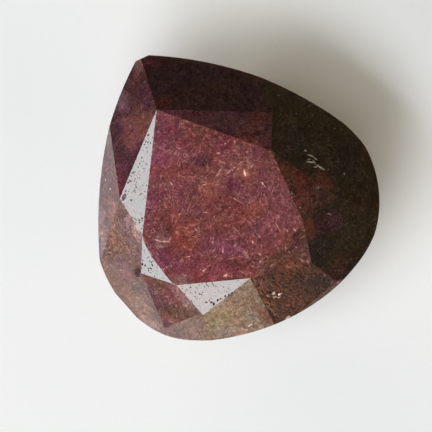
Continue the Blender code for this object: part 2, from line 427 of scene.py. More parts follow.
# Scratches and scuffs in the polish of the crown, grey with caught dust; same columns
dustyScratches = (
    (6.14, -0.81, 0.09, 0.039, -38, 0.77),
    (6.06, -1.56, 0.26, 0.048, -42, 0.91),
    (6.06, -1.36, 0.1, 0.036, -43, 0.7),
    (6.22, -1.65, 0.16, 0.039, -90, 0.7),
    (6.35, -2.08, 0.31, 0.051, -64, 0.84),
    (6.7, -2.47, 0.05, 0.039, -72, 0.42),
    (7.31, -3.17, 0.07, 0.039, -98, 0.56),
    (6.24, -1.22, 0.22, 0.045, -50, 0.85),
    (6.38, -1.52, 0.14, 0.042, -66, 0.75),
    (6.15, -1.95, 0.12, 0.045, -30, 0.7),
    (6.46, -2.3, 0.12, 0.042, -50, 0.65),
    (5.68, -3.09, 0.1, 0.072, -41, 0.35),
    (4.26, -2.56, 0.12, 0.039, -107, 0.7),
    (4.23, -3.55, 0.07, 0.054, -58, 0.63),
    (5.41, -4.77, 0.15, 0.072, -44, 0.28),
    (3.1, -7.78, 0.19, 0.072, -44, 0.49),
    (3.0, -8.49, 0.22, 0.066, -44, 0.28),
    (-2.44, -8.25, 0.1, 0.042, -51, 0.7),
    (-2.38, -8.44, 0.12, 0.042, -40, 0.7),
)

# Dark needles and stains just under the polish; same columns
tableNeedles = (
    (0.42, -4.77, 0.15, 0.054, -108, 0.7),
    (0.66, -5.0, 0.07, 0.06, -98, 0.7),
    (-0.67, -4.66, 0.13, 0.072, -59, 0.4),
    (0.25, -0.71, 0.07, 0.06, -70, 0.6),
    (1.6, -2.84, 0.06, 0.054, -80, 0.7),
    (3.19, -1.27, 0.4, 0.066, -94, 0.45),
    (-1.05, -1.61, 0.11, 0.06, -66, 0.4),
    (-3.34, -0.57, 0.19, 0.12, -70, 0.5),
)
girdleNeedles = ((-7.22, -1.24, 0.34, 0.036, -52, 0.6),)


def facetedMesh(source):
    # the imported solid's triangles merged back into whole facets, in millimetres
    body = bmesh.new()
    body.from_mesh(source)
    bmesh.ops.scale(body, vec=(1 / mm, 1 / mm, 1 / mm), verts=body.verts)
    bmesh.ops.remove_doubles(body, verts=body.verts, dist=stoneShape["weldReach"])
    bmesh.ops.dissolve_limit(
        body,
        angle_limit=math.radians(stoneShape["flatWithin"]),
        verts=body.verts,
        edges=body.edges,
        use_dissolve_boundaries=False,
    )
    bmesh.ops.recalc_face_normals(body, faces=body.faces)
    return body


def facetName(normal):
    best, found = stoneShape["sameFacet"], None
    for name, (azimuth, slope, _, _) in facetLooks.items():
        match = normal.dot(direction(azimuth, slope))
        if match > best:
            best, found = match, name
    return found


def divideSkin(body, axis, step):
    # cut the skin into even strips across one axis, without changing its shape
    values = [vert.co[axis] for vert in body.verts]
    normal = Vector((0, 0, 0))
    normal[axis] = 1.0
    for index in range(1, int((max(values) - min(values)) / step) + 1):
        point = normal * (min(values) + index * step)
        everything = body.verts[:] + body.edges[:] + body.faces[:]
        bmesh.ops.bisect_plane(
            body, geom=everything, dist=stoneShape["cutReach"], plane_co=point, plane_no=normal
        )


def putInOrder(body):
    # cutting leaves the new parts in another order at every run; from here on it is always the same
    body.verts.index_update()
    for parts in (body.edges, body.faces):
        ranked = sorted(parts, key=lambda part: sorted(vert.index for vert in part.verts))
        for rank, part in enumerate(ranked):
            part.index = rank
        parts.sort()
        parts.index_update()


def tornRidge(place):
    # how high the torn surface stands at a point, from 0 to 1: winding ridges between smooth hollows
    often, far = stoneShape["ridgeBend"]
    bent = place + noise.noise_vector(place * often) * far
    winding = 1.0 - min(1.0, stoneShape["ridgeSharpness"] * abs(noise.noise(bent / stoneShape["ridgeSize"])))
    grain = 0.5 + stoneShape["grainContrast"] * noise.noise(place / stoneShape["tornGrain"])
    grain = max(0.0, min(1.0, grain))
    return stoneShape["ridgeShare"] * winding + (1.0 - stoneShape["ridgeShare"]) * grain


def tearFacet(body, faces, facet):
    # the facet that was never polished: divided finer, then torn inwards between its ridges
    number = faces[0][facet]
    normal = max(faces, key=lambda face: face.calc_area()).normal.copy()
    whole = set(faces)
    edges = dict.fromkeys(edge for face in faces for edge in face.edges)
    inside = [edge for edge in edges if all(face in whole for face in edge.link_faces)]
    bmesh.ops.subdivide_edges(body, edges=inside, cuts=stoneShape["unpolishedCuts"], use_grid_fill=True)
    torn = {face for face in body.faces if face[facet] == number and not face.smooth}
    for vert in {vert for face in torn for vert in face.verts}:
        if all(face in torn for face in vert.link_faces):
            vert.co -= normal * (1.0 - tornRidge(vert.co)) * stoneShape["unpolishedRelief"]


def wornStrip(body, facet, number):
    # the flat faces of a star facet between the table and the bowed line where its polish begins
    line = [Vector((x, y, 0)) for x, y in stoneShape["wornLine"]]
    sides = []
    for start, end in zip(line, line[1:]):
        outward = (end - start).cross(Vector((0, 0, 1)))
        sides.append((start, outward.normalized()))
        star = [face for face in body.faces if face[facet] == number and not face.smooth]
        verts = dict.fromkeys(vert for face in star for vert in face.verts)
        edges = dict.fromkeys(edge for face in star for edge in face.edges)
        geometry = [*verts, *edges, *star]
        bmesh.ops.bisect_plane(
            body, geom=geometry, dist=stoneShape["cutReach"] / 2, plane_co=start, plane_no=outward
        )
    star = [face for face in body.faces if face[facet] == number and not face.smooth]
    strip = []
    for face in star:
        middle = face.calc_center_median()
        middle.z = 0.0
        if all((middle - start).dot(outward) < 0 for start, outward in sides):
            strip.append(face)
    return strip


def cloudedColour(name, base, silk, place):
    # the facet's colour, partly its own and partly painted light and shade, with the clouds that lie behind
    # this point mixed in; its alpha is the silk
    colour = base.copy()
    outside, within = stoneShape["cloudEdge"]
    for x, y, halfLength, halfWidth, turn, cloudColour, strength in facetClouds.get(name, ()):
        dx, dy = place.x - x, place.y - y
        c, s = math.cos(math.radians(turn)), math.sin(math.radians(turn))
        ragged = 1.0 + stoneShape["cloudRaggedness"] * noise.noise(place * 1.7 + Vector((x, y, 0)))
        reach = math.hypot((dx * c + dy * s) / halfLength, (dy * c - dx * s) / halfWidth) * ragged
        share = strength * max(0.0, min(1.0, (outside - reach) / (outside - within)))
        colour = colour.lerp(Vector(srgbToLinear(cloudColours[cloudColour])[:3]), share)
    # painted highlight on the torn ridges and painted shade in the hollows between them
    if name == stoneShape["unpolished"]:
        colour *= 1.0 + stoneShape["ridgeLightAndShade"] * (tornRidge(place) - stoneShape["ridgeMiddle"])
    return (colour.x, colour.y, colour.z, silk)


def markFacets(body, facet, wear):
    # number every facet, and give each hidden facet of the pavilion a shade of its own
    chooser = random.Random(stoneShape["seed"])
    names = list(facetLooks)
    shades = {}
    for index, face in enumerate(body.faces):
        for loop in face.loops:
            loop[wear] = (0.0, 0.0, 0.0, 1.0)
        face.smooth = False
        if abs(face.normal.z) <= stoneShape["uprightWithin"]:
            face[facet] = -1
            face.material_index = stoneShape["slots"]["girdle"]
            face.smooth = True
        elif facetName(face.normal):
            face[facet] = names.index(facetName(face.normal))
        else:
            face[facet] = len(names) + index
            shades[len(names) + index] = chooser.choice(stoneShape["pavilionShades"])
    return shades


def roundEdges(body, wear):
    sharp = [
        edge
        for edge in body.edges
        if len(edge.link_faces) == 2 and edge.calc_face_angle() > math.radians(stoneShape["leastEdge"])
    ]
    for edge in sharp:
        edge.smooth = False
    made = bmesh.ops.bevel(
        body,
        geom=sharp,
        offset=stoneShape["edgeRounding"],
        offset_type="OFFSET",
        segments=2,
        profile=0.5,
        affect="EDGES",
        clamp_overlap=True,
        loop_slide=True,
        material=0,
    )
    for face in made["faces"]:
        face.smooth = True
        for loop in face.loops:
            loop[wear] = (1.0, 1.0, 1.0, 1.0)


def paintSkin(body, facet, tint, shades):
    # the material and the colour of every face: partly its own, partly painted light and shade
    names = list(facetLooks)
    strip = set(wornStrip(body, facet, names.index(stoneShape["wornStar"])))
    for face in body.faces:
        number = face[facet]
        if 0 <= number < len(names):
            name = "table" if face in strip else names[number]
            shade, silk = facetLooks[name][2:]
            if not face.smooth:
                face.material_index = stoneShape["slots"].get("wornStrip" if face in strip else name, 0)
        else:
            name, silk = None, stoneShape["hiddenSilk"]
            shade = shades.get(number, stoneShape["girdlePaintedShade"])
        # the worn strip takes the table's colour, darkened: painted shade
        base = Vector(srgbToLinear(shade)[:3]) * (stoneShape["wornStripShade"] if face in strip else 1.0)
        for loop in face.loops:
            loop[tint] = cloudedColour(name, base, silk, loop.vert.co)


def stoneWithEdges(source):
    body = facetedMesh(source)
    facet = body.faces.layers.int.new("facet")
    tint = body.loops.layers.float_color.new("tintWithPaintedLight")
    wear = body.loops.layers.float_color.new("edgeWear")
    shades = markFacets(body, facet, wear)
    roundEdges(body, wear)
    divideSkin(body, 0, stoneShape["skinCell"])
    divideSkin(body, 1, stoneShape["skinCell"])
    divideSkin(body, 2, stoneShape["girdleCell"])
    putInOrder(body)
    unpolished = list(facetLooks).index(stoneShape["unpolished"])
    tearFacet(body, [face for face in body.faces if face[facet] == unpolished and not face.smooth], facet)
    putInOrder(body)
    paintSkin(body, facet, tint, shades)
    putInOrder(body)
    print("stone:", len(body.faces), "faces after the edges were rounded and the skin divided")
    return body


def scoop(body, tint, wear, centre, normal, size, turn, colour, chooser):
    # one rough little ball, to be cut out of the surface
    ball = bmesh.ops.create_icosphere(body, subdivisions=2, radius=1.0)
    along = Vector((math.cos(math.radians(turn)), math.sin(math.radians(turn)), 0))
    along = (along - along.dot(normal) * normal).normalized()
    side = normal.cross(along)
    shift = Vector((chooser.uniform(-50, 50), chooser.uniform(-50, 50), chooser.uniform(-50, 50)))
    for vert in ball["verts"]:
        ragged = 1.0 + stoneShape["scoopRaggedness"] * noise.noise(vert.co * 1.6 + shift)
        local = vert.co * ragged
        vert.co = centre + along * local.x * size[0] + side * local.y * size[1] + normal * local.z * size[2]
    for face in {face for vert in ball["verts"] for face in vert.link_faces}:
        face.material_index = stoneShape["slots"]["chips"]
        for loop in face.loops:
            loop[tint] = colour
            loop[wear] = (0.0, 0.0, 0.0, 1.0)


def scoopTool(surface):
    # all chips and pits as one cutting body; each is placed on the surface straight below its plan point
    body = bmesh.new()
    tint = body.loops.layers.float_color.new("tintWithPaintedLight")
    wear = body.loops.layers.float_color.new("edgeWear")
    chooser = random.Random(stoneShape["seed"] + 1)
    rows = [(*chip, stoneShape["chipDepth"]) for chip in knockedChips]
    rows += [(*pit, stoneShape["pitShadeColour"], stoneShape["pitDepth"]) for pit in darkPits]
    for x, y, halfLength, halfWidth, turn, colour, depthShare in rows:
        hit, normal, _, _ = surface.ray_cast(Vector((x, y, 30.0)), Vector((0, 0, -1)))
        if hit is None:
            continue
        depth = halfWidth * depthShare
        size = (halfLength, halfWidth, depth)
        scoop(body, tint, wear, hit, normal, size, turn, srgbToLinear(colour), chooser)
    bmesh.ops.recalc_face_normals(body, faces=body.faces)
    return body


def buildStone():
    noise.seed_set(stoneShape["seed"])  # or else the torn ridges bend another way at every run
    body = stoneWithEdges(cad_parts["ruby"].data)
    surface = BVHTree.FromBMesh(body)
    tool = scoopTool(surface)
    stoneMesh = bpy.data.meshes.new("polishedStone")
    toolMesh = bpy.data.meshes.new("chipTool")
    materials = [
        rubyMaterial("polished corundum", polishedFinish),
        rubyMaterial("ground corundum girdle", groundFinish),
        rubyMaterial("fractured corundum", fracturedFinish),
        rubyMaterial("lapped corundum left unpolished", lappedFinish),
        rubyMaterial("polished corundum with open pores", poredFinish),
        rubyMaterial("polished corundum over silk flakes", tableFinish),
        rubyMaterial("finely pitted polished corundum", pittedFinish),
    ]
    print("stone:", len(materials), "materials made")
    for mesh, shape in ((stoneMesh, body), (toolMesh, tool)):
        shape.to_mesh(mesh)
        shape.free()
        for material in materials:
            mesh.materials.append(material)
    stone = bpy.data.objects.new("polishedStone", stoneMesh)
    cutter = bpy.data.objects.new("chipTool", toolMesh)
    for item in (stone, cutter):
        bpy.context.scene.collection.objects.link(item)
    cut = stone.modifiers.new("chips", "BOOLEAN")
    cut.operation = "DIFFERENCE"
    cut.solver = "EXACT"
    cut.use_self = True
    cut.object = cutter
    evaluated = stone.evaluated_get(bpy.context.evaluated_depsgraph_get())
    finished = bpy.data.meshes.new_from_object(evaluated)
    stone.modifiers.clear()
    stone.data = finished
    finished.transform(Matrix.Scale(mm, 4))
    bpy.data.objects.remove(cutter, do_unlink=True)
    bpy.data.meshes.remove(toolMesh)
    bpy.data.meshes.remove(stoneMesh)
    finished.name = "polishedStone"
    print("stone:", len(finished.polygons), "faces after the chips were cut")
    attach(stone, "root")
    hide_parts("ruby")
    return stone


# Cloudy corundum, ruby of the grade that is cut opaque. It is full of mineral grains, clouds and
# short needles of rutile silk. Sizes in mm, noise scales per mm. One pixel of the picture is 0.06 mm,
# so the grain, which is finer than that in the stone, is drawn 0.1 mm wide.
bodyLooks = {
    "cloudSize": 1.9,
    "casts": (  # what the clouds do to red, green and blue, and over which part of their noise
        ((1.13, 0.97, 0.86), 0.48, 0.66),  # towards orange
        ((0.98, 0.91, 1.18), 0.52, 0.34),  # towards purple
    ),
    "mottles": (  # size, strength, detail
        (0.85, 0.2, 2.0),
        (0.32, 0.3, 2.0),
        (0.14, 0.3, 1.0),
    ),
    "mottleNoise": (0.25, 0.75),
    "grainCell": 0.085,
    "grainStrength": 0.32,
    "bendSize": 1.3,  # over this length the silk bends
    "bend": 0.9,
    "silk": (  # patch size, share of patches, streak length, streak width, strength
        (1.3, 0.55, 0.42, 0.075, 0.29),
        (0.7, 0.6, 0.26, 0.06, 0.29),
        (0.33, 0.5, 0.16, 0.055, 0.31),
    ),
    "streakNoise": (0.6, 0.8),  # from nothing to a full streak
    "patchesApart": 60.0,  # how far apart in the noise two patches look
    "patchEdge": (0.55, 0.25),  # from outside a patch to well within it, in cells
    "silkGain": (10.7, 5.5, 4.8),  # colour of a solid streak, for a grey of 1 behind it
    "strokeEdge": (1.1, 0.5),  # from outside a drawn stroke to its full strength, in its own half sizes
    "strokeRaggedness": 0.07,
    "rippleScale": 9.0,
    "strokesAbove": 4.4,  # the height of the crown line
    "scratchColour": "#a0978c",
    "needleDepth": 0.55,
    "spotCell": 0.55,
    "spotReach": 0.1,
    "spotShare": 0.78,
    "spotDepth": 0.55,
    "spotColour": "#1c0d10",
    # painted shade in the pores: the dark that they are painted towards
    "poreColour": "#2a2224",
    "porePaintedShade": 0.2,  # for a finish that names none of its own
    "poreScale": 1.1,
    "poreCrowding": (0.35, 0.65, 0.6, 1.3),  # from small pores to large ones, over this part of the noise
    "wearAndHighlightScale": 1.8,
    "wearAndHighlightNoise": (0.45, 0.62, 0.05, 0.4),  # from a lightly worn edge to a strongly worn one, and so also the painted highlight
    # partly real wear, partly a painted highlight along the edges
    "wearAndHighlightColour": "#7d625c",
    "wornRoughness": 0.35,
    "reliefScale": 6.0,
    "relief": 0.6,
}

# Lapped and polished facets: a hard mirror gloss, broken by a few open pores
polishedFinish = {
    "roughness": 0.05,
    "specular": 0.5,
    "poreRoughness": 0.35,
    "poreCell": 0.15,
    "poreReach": 0.05,
    "poreShare": 0.15,
    "bump": 0.002,
    "flakes": crownFlakes,
    "scratches": dustyScratches,
}
# The table has the same polish; only the flakes that lie under it differ
tableFinish = {**polishedFinish, "flakes": tableFlakes, "scratches": (), "needles": tableNeedles}
# Polished facets over a porous part: the same gloss, dotted with dull pores. Real pores are a few
# hundredths of a millimetre across, and these are drawn 0.05 mm wide to be seen at all.
poredFinish = {
    "roughness": 0.05,
    "specular": 0.5,
    "poreRoughness": 0.95,
    "poreCell": 0.12,
    "poreReach": 0.05,
    "poreShare": 0.8,
    "porePaintedShade": 0.55,
    "bump": 0.006,
}
# Polished facets with fine shallow pits, which blur the reflection here and there
pittedFinish = {
    "roughness": 0.07,
    "specular": 0.3,
    "poreRoughness": 0.75,
    "poreCell": 0.13,
    "poreReach": 0.06,
    "poreShare": 0.75,
    "porePaintedShade": 0.1,
    "bump": 0.006,
    "needles": girdleNeedles,
}
# Girdle left from the grinding wheel: matt, with no mirror gloss at all
groundFinish = {
    "roughness": 0.85,
    "specular": 0.0,
    "poreRoughness": 0.9,
    "poreCell": 0.3,
    "poreReach": 0.2,
    "poreShare": 0.5,
    "bump": 0.01,
}
# Freshly broken surfaces in the chips: uneven and half dull
fracturedFinish = {
    "roughness": 0.7,
    "specular": 0.2,
    "poreRoughness": 0.8,
    "poreCell": 0.2,
    "poreReach": 0.3,
    "poreShare": 0.5,
    "bump": 0.02,
}
# The facet that was lapped but never polished: dull, torn and pitted
lappedFinish = {
    "roughness": 0.75,
    "specular": 0.15,
    "poreRoughness": 0.9,
    "poreCell": 0.16,
    "poreReach": 0.12,
    "poreShare": 0.5,
    "bump": 0.02,
}


# Settings for nodes that lay one colour over another, tint one by another, multiply two values, keep
# the larger of two, scale a vector, or multiply two vectors and add a third
layColour = {"data_type": "RGBA"}
tintColour = {"data_type": "RGBA", "blend_type": "MULTIPLY"}
product = {"operation": "MULTIPLY"}
larger = {"operation": "MAXIMUM"}
scaled = {"operation": "SCALE"}
mulAdd = {"operation": "MULTIPLY_ADD"}


def castClouds(tree, place, colour):
    # soft clouds of purple and orange-red, a millimetre or two across
    inputs = {"Vector": place, "Scale": 1 / bodyLooks["cloudSize"], "Detail": 3.0}
    cloud = addNode(tree, "TexNoise", {}, inputs).outputs["Fac"]
    for cast, low, high in bodyLooks["casts"]:
        share = addNode(tree, "MapRange", {}, {"Value": cloud, 1: low, 2: high}).outputs[0]
        inputs = {0: share, 6: colour, 7: (*cast, 1.0)}
        colour = addNode(tree, "Mix", tintColour, inputs).outputs[2]
    return colour


def mottledGrain(tree, place, colour):
    # mottling in three sizes, and single grains: lighter and darker by a factor around one
    factor = 1.0
    low, high = bodyLooks["mottleNoise"]
    for size, strength, detail in bodyLooks["mottles"]:
        inputs = {"Vector": place, "Scale": 1 / size, "Detail": detail}
        pattern = addNode(tree, "TexNoise", {}, inputs).outputs["Fac"]
        inputs = {"Value": pattern, 1: low, 2: high, 3: 1 - strength, 4: 1 + strength}
        layer = addNode(tree, "MapRange", {"clamp": False}, inputs).outputs[0]
        factor = addNode(tree, "Math", product, {0: factor, 1: layer}).outputs[0]
    grains = addNode(
        tree, "TexVoronoi", {}, {"Vector": place, "Scale": 1 / bodyLooks["grainCell"]}
    ).outputs["Color"]
    pick = addNode(tree, "SeparateColor", {}, {"Color": grains}).outputs[0]
    strength = bodyLooks["grainStrength"]
    grain = addNode(tree, "MapRange", {}, {"Value": pick, 3: 1 - strength, 4: 1 + strength}).outputs[0]
    factor = addNode(tree, "Math", product, {0: factor, 1: grain}).outputs[0]
    return addNode(tree, "Mix", tintColour, {0: 1.0, 6: colour, 7: factor}).outputs[2]


def silkStreaks(tree, place):
    # rutile silk: patches of short parallel streaks, each patch turned its own way and a little bent
    inputs = {"Vector": place, "Scale": 1 / bodyLooks["bendSize"], "Detail": 1.0}
    bend = addNode(tree, "TexNoise", {}, inputs).outputs["Color"]
    bent = addNode(tree, "VectorMath", mulAdd, {0: bend, 1: (bodyLooks["bend"],) * 3, 2: place}).outputs[0]
    silk = 0.0
    for cell, patchShare, length, width, strength in bodyLooks["silk"]:
        scatter = addNode(
            tree, "TexVoronoi", {"voronoi_dimensions": "2D"}, {"Vector": bent, "Scale": 1 / cell}
        )
        dice = addNode(tree, "SeparateColor", {}, {"Color": scatter.outputs["Color"]})
        local = addNode(
            tree, "VectorMath", {"operation": "SUBTRACT"}, {0: bent, 1: scatter.outputs["Position"]}
        ).outputs[0]
        angle = addNode(tree, "Math", product, {0: dice.outputs[0], 1: 2 * math.pi}).outputs[0]
        turned = addNode(
            tree, "VectorRotate", {"rotation_type": "Z_AXIS"}, {"Vector": local, "Angle": angle}
        ).outputs[0]
        # every patch looks into its own part of the noise
        apart = addNode(
            tree, "VectorMath", scaled, {0: scatter.outputs["Color"], "Scale": bodyLooks["patchesApart"]}
        ).outputs[0]
        stretched = addNode(
            tree, "VectorMath", mulAdd, {0: turned, 1: (1 / length, 1 / width, 0), 2: apart}
        ).outputs[0]
        streaks = addNode(
            tree, "TexNoise", {"noise_dimensions": "2D"}, {"Vector": stretched, "Scale": 1.0, "Detail": 0.0}
        ).outputs["Fac"]
        low, high = bodyLooks["streakNoise"]
        streak = addNode(
            tree, "MapRange", {}, {"Value": streaks, 1: low, 2: high, 3: 0.0, 4: strength}
        ).outputs[0]
        outside, within = bodyLooks["patchEdge"]
        inPatch = addNode(
            tree, "MapRange", {}, {"Value": scatter.outputs["Distance"], 1: outside, 2: within}
        ).outputs[0]
        chosen = addNode(
            tree, "Math", {"operation": "LESS_THAN"}, {0: dice.outputs[1], 1: patchShare}
        ).outputs[0]
        here = addNode(tree, "Math", product, {0: inPatch, 1: chosen}).outputs[0]
        share = addNode(tree, "Math", product, {0: streak, 1: here}).outputs[0]
        silk = addNode(tree, "Math", larger, {0: silk, 1: share}).outputs[0]
    return silk


def strokes(tree, place, rows):
    # soft ellipses on the crown, each at its own spot; where they cross, the stronger one shows
    if not rows:
        return 0.0
    mask = 0.0
    outside, within = bodyLooks["strokeEdge"]
    for x, y, halfLength, halfWidth, turn, strength in rows:
        local = addNode(
            tree,
            "Mapping",
            {"vector_type": "TEXTURE"},
            {
                "Vector": place,
                "Location": (x, y, 0.0),
                "Rotation": (0.0, 0.0, math.radians(turn)),
                "Scale": (halfLength, halfWidth, 1000.0),  # the height hardly counts
            },
        ).outputs[0]
        reach = addNode(tree, "VectorMath", {"operation": "LENGTH"}, {0: local}).outputs["Value"]
        here = addNode(
            tree, "MapRange", {}, {"Value": reach, 1: outside, 2: within, 3: 0.0, 4: strength}
        ).outputs[0]
        mask = addNode(tree, "Math", larger, {0: mask, 1: here}).outputs[0]
    height = addNode(tree, "SeparateXYZ", {}, {0: place}).outputs[2]
    above = addNode(
        tree, "Math", {"operation": "GREATER_THAN"}, {0: height, 1: bodyLooks["strokesAbove"]}
    ).outputs[0]
    return addNode(tree, "Math", product, {0: mask, 1: above}).outputs[0]


def silkAndScratches(tree, place, colour, silkShare, finish):
    # the silk and the single flakes, dark needles and dusty scratches over the body colour
    inputs = {"Vector": place, "Scale": bodyLooks["rippleScale"], "Detail": 1.0}
    ripple = addNode(tree, "TexNoise", {}, inputs).outputs["Color"]
    ragged = addNode(
        tree, "VectorMath", mulAdd, {0: ripple, 1: (bodyLooks["strokeRaggedness"],) * 3, 2: place}
    ).outputs[0]
    silk = addNode(tree, "Math", product, {0: silkStreaks(tree, place), 1: silkShare}).outputs[0]
    flakes = strokes(tree, ragged, finish.get("flakes", ()))
    silk = addNode(tree, "Math", larger, {0: silk, 1: flakes}).outputs[0]
    grey = addNode(tree, "RGBToBW", {}, {"Color": colour}).outputs[0]
    pale = addNode(tree, "VectorMath", scaled, {0: bodyLooks["silkGain"], "Scale": grey}).outputs[0]
    colour = addNode(tree, "Mix", layColour, {0: silk, 6: colour, 7: pale}).outputs[2]
    needles = strokes(tree, ragged, finish.get("needles", ()))
    shadow = addNode(
        tree, "MapRange", {}, {"Value": needles, 3: 1.0, 4: 1 - bodyLooks["needleDepth"]}
    ).outputs[0]
    colour = addNode(tree, "Mix", tintColour, {0: 1.0, 6: colour, 7: shadow}).outputs[2]
    dust = strokes(tree, ragged, finish.get("scratches", ()))
    dustColour = srgbToLinear(bodyLooks["scratchColour"])
    return addNode(tree, "Mix", layColour, {0: dust, 6: colour, 7: dustColour}).outputs[2]


def darkGrains(tree, place, colour):
    # dark grains of other minerals
    cells = addNode(tree, "TexVoronoi", {}, {"Vector": place, "Scale": 1 / bodyLooks["spotCell"]})
    pick = addNode(tree, "SeparateColor", {}, {"Color": cells.outputs["Color"]}).outputs[0]
    chosen = addNode(
        tree, "Math", {"operation": "GREATER_THAN"}, {0: pick, 1: bodyLooks["spotShare"]}
    ).outputs[0]
    reach = bodyLooks["spotReach"] / bodyLooks["spotCell"]
    near = addNode(
        tree,
        "MapRange",
        {},
        {"Value": cells.outputs["Distance"], 1: reach, 2: 0.0, 3: 0.0, 4: bodyLooks["spotDepth"]},
    ).outputs[0]
    spot = addNode(tree, "Math", product, {0: chosen, 1: near}).outputs[0]
    spotColour = srgbToLinear(bodyLooks["spotColour"])
    return addNode(tree, "Mix", layColour, {0: spot, 6: colour, 7: spotColour}).outputs[2]


def openPores(tree, place, finish):
    # 1 inside the open pores of the surface, which crowd in some places and thin out in others
    pores = addNode(tree, "TexVoronoi", {}, {"Vector": place, "Scale": 1 / finish["poreCell"]})
    pick = addNode(tree, "SeparateColor", {}, {"Color": pores.outputs["Color"]}).outputs[1]
    reach = finish["poreReach"] / finish["poreCell"]
    size = addNode(
        tree, "MapRange", {}, {"Value": pick, 1: 1 - finish["poreShare"], 2: 1.0, 3: 0.0, 4: reach}
    ).outputs[0]
    inputs = {"Vector": place, "Scale": bodyLooks["poreScale"], "Detail": 1.0}
    patchy = addNode(tree, "TexNoise", {}, inputs).outputs["Fac"]
    low, high, small, large = bodyLooks["poreCrowding"]
    density = addNode(
        tree, "MapRange", {}, {"Value": patchy, 1: low, 2: high, 3: small, 4: large}
    ).outputs[0]
    size = addNode(tree, "Math", product, {0: size, 1: density}).outputs[0]
    return addNode(
        tree, "Math", {"operation": "LESS_THAN"}, {0: pores.outputs["Distance"], 1: size}
    ).outputs[0]


def edgeWearAndHighlight(tree, place, wear):
    # how strongly the edges are worn and painted paler, partly real wear and partly a painted highlight:
    # patches along them, with little between
    inputs = {"Vector": place, "Scale": bodyLooks["wearAndHighlightScale"], "Detail": 3.0}
    patches = addNode(tree, "TexNoise", {}, inputs).outputs["Fac"]
    low, high, light, strong = bodyLooks["wearAndHighlightNoise"]
    here = addNode(
        tree, "MapRange", {}, {"Value": patches, 1: low, 2: high, 3: light, 4: strong}
    ).outputs[0]
    return addNode(tree, "Math", product, {0: wear, 1: here}).outputs[0]


def rubyMaterial(name, finish):
    material = bpy.data.materials.new(name)
    material.use_nodes = True
    tree = material.node_tree
    shader = tree.nodes["Principled BSDF"]
    where = addNode(tree, "TexCoord").outputs["Object"]
    place = addNode(tree, "VectorMath", scaled, {0: where, "Scale": 1 / mm}).outputs[0]
    # the colour painted on the skin: partly the stone's own, partly painted light and shade
    painted = addNode(tree, "Attribute", {"attribute_name": "tintWithPaintedLight"})
    wear = addNode(tree, "Attribute", {"attribute_name": "edgeWear"}).outputs["Fac"]

    colour = castClouds(tree, place, painted.outputs["Color"])
    colour = mottledGrain(tree, place, colour)
    colour = silkAndScratches(tree, place, colour, painted.outputs["Alpha"], finish)
    colour = darkGrains(tree, place, colour)

    # pores are dull and a little sunken, and painted darker, which is painted shade
    inPore = openPores(tree, place, finish)
    poreShadeShare = finish.get("porePaintedShade", bodyLooks["porePaintedShade"])
    poreShade = addNode(tree, "Math", product, {0: inPore, 1: poreShadeShare}).outputs[0]
    poreColour = srgbToLinear(bodyLooks["poreColour"])
    colour = addNode(tree, "Mix", layColour, {0: poreShade, 6: colour, 7: poreColour}).outputs[2]
    roughness = addNode(
        tree, "MapRange", {}, {"Value": inPore, 3: finish["roughness"], 4: finish["poreRoughness"]}
    ).outputs[0]

    # worn edges are duller, and a touch paler: partly real wear, partly a painted highlight along the edges
    wearAndHighlight = edgeWearAndHighlight(tree, place, wear)
    wearAndHighlightColour = srgbToLinear(bodyLooks["wearAndHighlightColour"])
    colour = addNode(tree, "Mix", layColour, {0: wearAndHighlight, 6: colour, 7: wearAndHighlightColour}).outputs[2]
    roughness = addNode(
        tree, "MapRange", {}, {"Value": wearAndHighlight, 3: roughness, 4: bodyLooks["wornRoughness"]}
    ).outputs[0]

    inputs = {"Vector": place, "Scale": bodyLooks["reliefScale"], "Detail": 2.0}
    relief = addNode(tree, "TexNoise", {}, inputs).outputs["Fac"]
    height = addNode(tree, "Math", {"operation": "SUBTRACT"}, {0: relief, 1: inPore}).outputs[0]
    bump = addNode(
        tree,
        "Bump",
        {},
        {"Height": height, "Strength": bodyLooks["relief"], "Distance": finish["bump"] * mm},
    ).outputs[0]

    tree.links.new(colour, shader.inputs["Base Color"])
    tree.links.new(roughness, shader.inputs["Roughness"])
    tree.links.new(bump, shader.inputs["Normal"])
    shader.inputs["IOR"].default_value = 1.77  # corundum
    shader.inputs["Specular IOR Level"].default_value = finish["specular"]
    shader.inputs["Metallic"].default_value = 0.0
    return material


# Uncoated paper: pale, matt and even, with a fine tooth of fibres; sizes in mm
paperLooks = {
    "colour": "#f1f1ef",
    "roughness": 0.85,
    "halfSize": 400.0,
    "fibre": 0.25,
    "fibreShade": (0.985, 1.015),
    "relief": 0.02,
    "reliefShare": 0.2,
}


def buildPaper():
    half = paperLooks["halfSize"] * mm
    mesh = bpy.data.meshes.new("paperSheet")
    corners = [(-half, -half, 0), (half, -half, 0), (half, half, 0), (-half, half, 0)]
    mesh.from_pydata(corners, [], [(0, 1, 2, 3)])
    sheet = bpy.data.objects.new("paperSheet", mesh)
    bpy.context.scene.collection.objects.link(sheet)
    material = bpy.data.materials.new("uncoated white paper")
    material.use_nodes = True
    tree = material.node_tree
    shader = tree.nodes["Principled BSDF"]
    where = addNode(tree, "TexCoord").outputs["Object"]
    fibreScale = 1 / (paperLooks["fibre"] * mm)
    fibres = addNode(
        tree, "TexNoise", {}, {"Vector": where, "Scale": fibreScale, "Detail": 3.0}
    ).outputs["Fac"]
    dark, light = paperLooks["fibreShade"]
    shade = addNode(tree, "MapRange", {}, {"Value": fibres, 3: dark, 4: light}).outputs[0]
    plain = srgbToLinear(paperLooks["colour"])
    colour = addNode(tree, "Mix", tintColour, {0: 1.0, 6: plain, 7: shade}).outputs[2]
    inputs = {"Height": fibres, "Strength": paperLooks["reliefShare"], "Distance": paperLooks["relief"] * mm}
    bump = addNode(tree, "Bump", {}, inputs).outputs[0]
    tree.links.new(colour, shader.inputs["Base Color"])
    tree.links.new(bump, shader.inputs["Normal"])
    shader.inputs["Roughness"].default_value = paperLooks["roughness"]
    mesh.materials.append(material)
    print("paper: one sheet laid under the stone")


